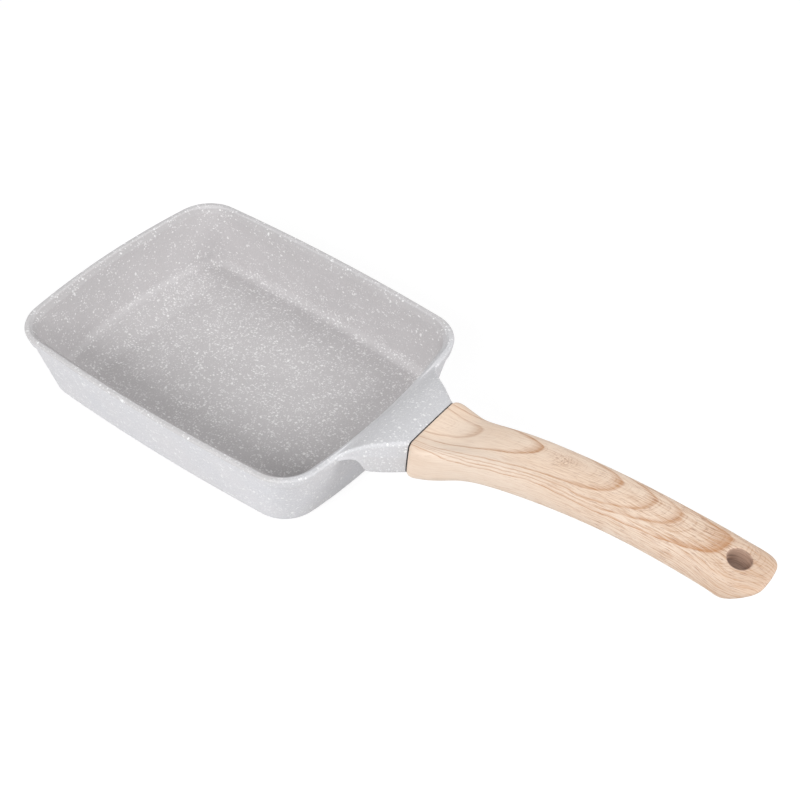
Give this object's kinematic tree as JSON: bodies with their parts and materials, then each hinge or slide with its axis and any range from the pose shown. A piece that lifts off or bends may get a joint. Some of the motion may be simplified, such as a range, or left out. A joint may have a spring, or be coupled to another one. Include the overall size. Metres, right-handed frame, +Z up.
{
  "type": "rolled omelette pan",
  "caption": "Small rectangular rolled-omelette pan with flared walls and rolled lip, a cast handle lug, a rising wood-effect handle with hanging hole, and a flush induction plate.",
  "frame": {"origin": "on the plane the pan stands on, below the middle of the rim's length and width", "axes": "+X from the pan to the tip of the handle, +Z up, XZ the plane of symmetry"},
  "size_m": [0.3509, 0.1336, 0.0639],
  "materials": {
    "granite_coat": "cast aluminium under a matte warm-grey coating with fine pale flecks",
    "base_steel": "pressed ferritic stainless steel, brushed",
    "black_rubber": "matte black silicone rubber",
    "wood_effect": "heat-resistant moulded plastic with a pale printed wood grain, soft matte lacquer",
    "fastener_steel": "plated steel fasteners"
  },
  "bodies": {
    "root": {"pan_body": "granite_coat", "induction_plate": "base_steel", "handle_seal": "black_rubber", "handle": "wood_effect", "handle_screw": "fastener_steel", "spring_washer": "fastener_steel", "flat_washer": "fastener_steel"}
  },
  "joints": []
}
